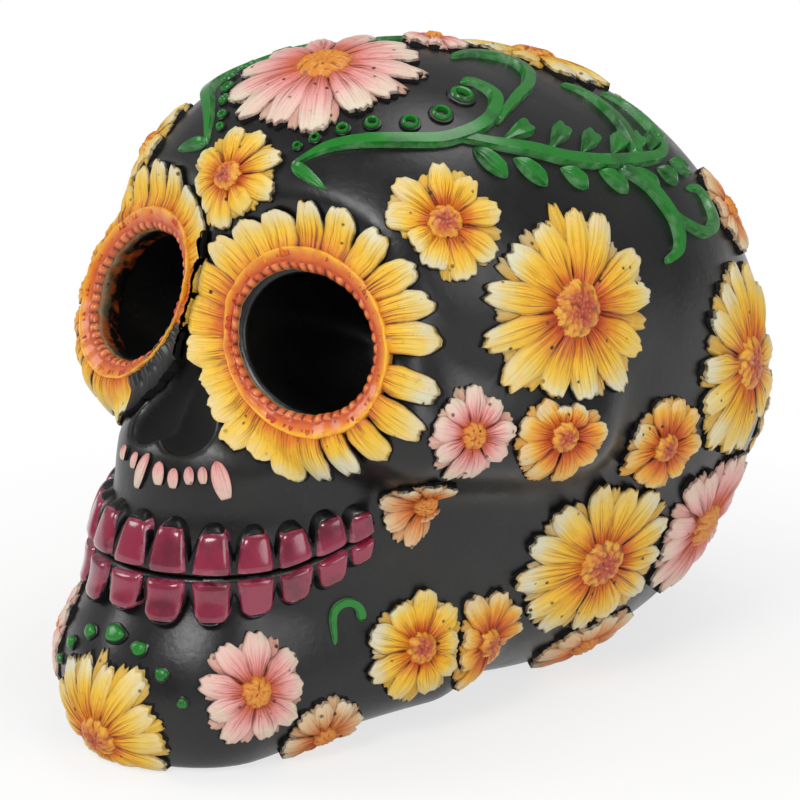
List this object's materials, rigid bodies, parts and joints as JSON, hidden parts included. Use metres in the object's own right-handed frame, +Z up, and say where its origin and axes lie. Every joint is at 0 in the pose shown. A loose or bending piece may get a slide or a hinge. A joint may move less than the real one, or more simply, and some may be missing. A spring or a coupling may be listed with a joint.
{
  "type": "sugar skull ornament",
  "caption": "Free-standing skull ornament with open eye sockets, two rows of teeth, and flowers and vines in high relief.",
  "frame": {"origin": "on the flat underside, under the middle of the head, at the surface that the skull stands on", "axes": "+Z up, -Y the way the face looks, +X the skull's left side"},
  "size_m": [0.1098, 0.1597, 0.1196],
  "materials": {
    "black_paint": "satin black paint on cast resin",
    "yellow_petals": "satin yellow and orange paint with cream tips on cast resin",
    "orange_petals": "satin orange paint with cream tips on cast resin",
    "pink_petals": "satin pink paint with cream tips on cast resin",
    "peach_petals": "satin peach and cream paint on cast resin",
    "orange_rim": "glossy red-orange paint on a beaded rim",
    "green_vines": "glossy green paint on cast resin",
    "burgundy_teeth": "glossy burgundy paint on cast resin"
  },
  "bodies": {
    "root": {"skull_body": "black_paint", "eye_flower_left": "yellow_petals", "eye_flower_right": "yellow_petals", "eye_rim_left": "orange_rim", "eye_rim_right": "orange_rim", "upper_teeth": "burgundy_teeth", "lower_teeth": "burgundy_teeth", "vine_left": "green_vines", "vine_right": "green_vines", "jaw_tendril_left": "green_vines", "jaw_tendril_right": "green_vines", "crown_flower": "pink_petals", "forehead_flower": "yellow_petals", "chin_flower": "yellow_petals", "top_flower": "pink_petals", "top_rear_flower": "yellow_petals", "back_top_flower": "peach_petals", "back_flower": "yellow_petals", "back_low_flower": "pink_petals", "temple_flower_left": "yellow_petals", "temple_flower_right": "yellow_petals", "side_flower_left": "yellow_petals", "side_flower_right": "yellow_petals", "pink_temple_flower_left": "pink_petals", "pink_temple_flower_right": "pink_petals", "ear_flower_left": "orange_petals", "ear_flower_right": "orange_petals", "rear_ear_flower_left": "orange_petals", "rear_ear_flower_right": "orange_petals", "low_side_flower_left": "yellow_petals", "low_side_flower_right": "yellow_petals", "rear_side_flower_left": "yellow_petals", "rear_side_flower_right": "yellow_petals", "upper_rear_flower_left": "peach_petals", "upper_rear_flower_right": "peach_petals", "low_rear_flower_left": "pink_petals", "low_rear_flower_right": "pink_petals", "base_flower_left": "peach_petals", "base_flower_right": "peach_petals", "under_cheek_flower_left": "peach_petals", "under_cheek_flower_right": "peach_petals", "jaw_angle_flower_left": "yellow_petals", "jaw_angle_flower_right": "yellow_petals", "back_side_flower_left": "orange_petals", "back_side_flower_right": "orange_petals", "neck_flower_left": "orange_petals", "neck_flower_right": "orange_petals", "jaw_flower_left": "pink_petals", "jaw_flower_right": "pink_petals", "jaw_edge_flower_left": "peach_petals", "jaw_edge_flower_right": "peach_petals"}
  },
  "joints": []
}
